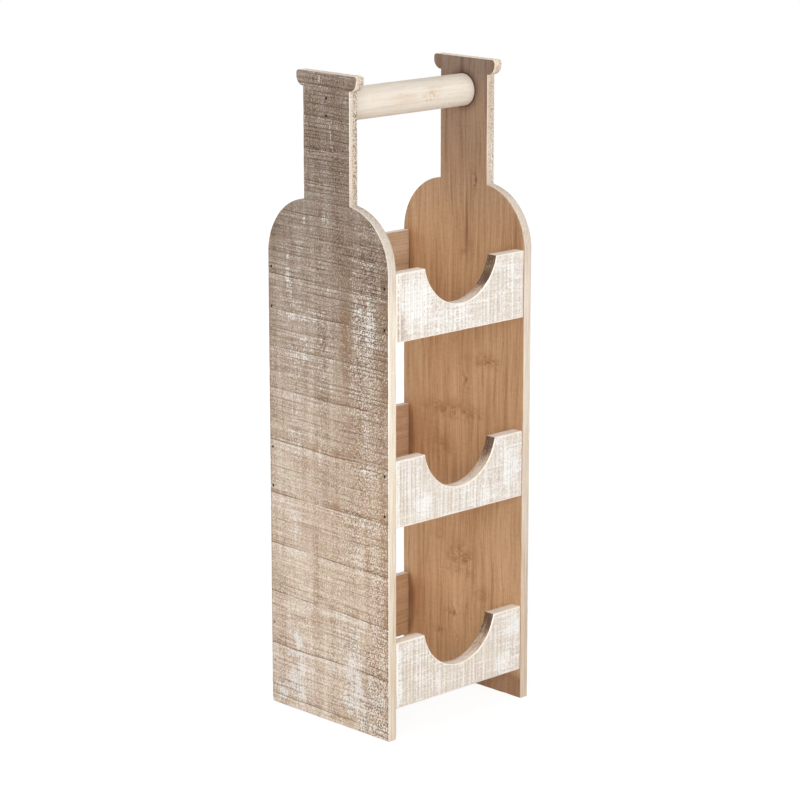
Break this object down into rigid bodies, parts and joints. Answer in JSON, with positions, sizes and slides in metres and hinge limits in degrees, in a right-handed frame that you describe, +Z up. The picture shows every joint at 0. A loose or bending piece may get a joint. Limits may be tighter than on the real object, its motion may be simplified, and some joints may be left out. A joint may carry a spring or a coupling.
{
  "type": "wine rack",
  "caption": "Wooden wine rack with bottle-shaped side panels, scooped front and back rails that hold bottles lying down, and a round dowel carrying handle.",
  "frame": {"origin": "centre of the rack's footprint, on the surface that it stands on", "axes": "+Z up the rack's height; -Y out of the front; +X from the left panel to the right panel"},
  "size_m": [0.182, 0.158, 0.6],
  "materials": {
    "panel_wood": "rough-sawn, whitewashed and partly sanded back; brown inner face, pale sawn edges",
    "front_rail_wood": "rough-sawn with a heavy whitewash, pale sawn edges",
    "back_rail_wood": "plain brown-stained face, whitewashed back, pale sawn edges",
    "handle_wood": "smooth sanded pale softwood",
    "brad_steel": "bright wire, dulled"
  },
  "bodies": {
    "root": {"left_side_panel": "panel_wood", "right_side_panel": "panel_wood", "handle_dowel": "handle_wood", "front_rail_top": "front_rail_wood", "front_rail_middle": "front_rail_wood", "front_rail_bottom": "front_rail_wood", "back_rail_top": "back_rail_wood", "back_rail_middle": "back_rail_wood", "back_rail_bottom": "back_rail_wood", "brad_front_top_left_upper": "brad_steel", "brad_front_top_left_lower": "brad_steel", "brad_front_top_right_upper": "brad_steel", "brad_front_top_right_lower": "brad_steel", "brad_front_middle_left_upper": "brad_steel", "brad_front_middle_left_lower": "brad_steel", "brad_front_middle_right_upper": "brad_steel", "brad_front_middle_right_lower": "brad_steel", "brad_front_bottom_left_upper": "brad_steel", "brad_front_bottom_left_lower": "brad_steel", "brad_front_bottom_right_upper": "brad_steel", "brad_front_bottom_right_lower": "brad_steel", "brad_back_top_left_upper": "brad_steel", "brad_back_top_left_lower": "brad_steel", "brad_back_top_right_upper": "brad_steel", "brad_back_top_right_lower": "brad_steel", "brad_back_middle_left_upper": "brad_steel", "brad_back_middle_left_lower": "brad_steel", "brad_back_middle_right_upper": "brad_steel", "brad_back_middle_right_lower": "brad_steel", "brad_back_bottom_left_upper": "brad_steel", "brad_back_bottom_left_lower": "brad_steel", "brad_back_bottom_right_upper": "brad_steel", "brad_back_bottom_right_lower": "brad_steel", "brad_handle_left_upper": "brad_steel", "brad_handle_left_lower": "brad_steel", "brad_handle_right_upper": "brad_steel", "brad_handle_right_lower": "brad_steel"}
  },
  "joints": []
}
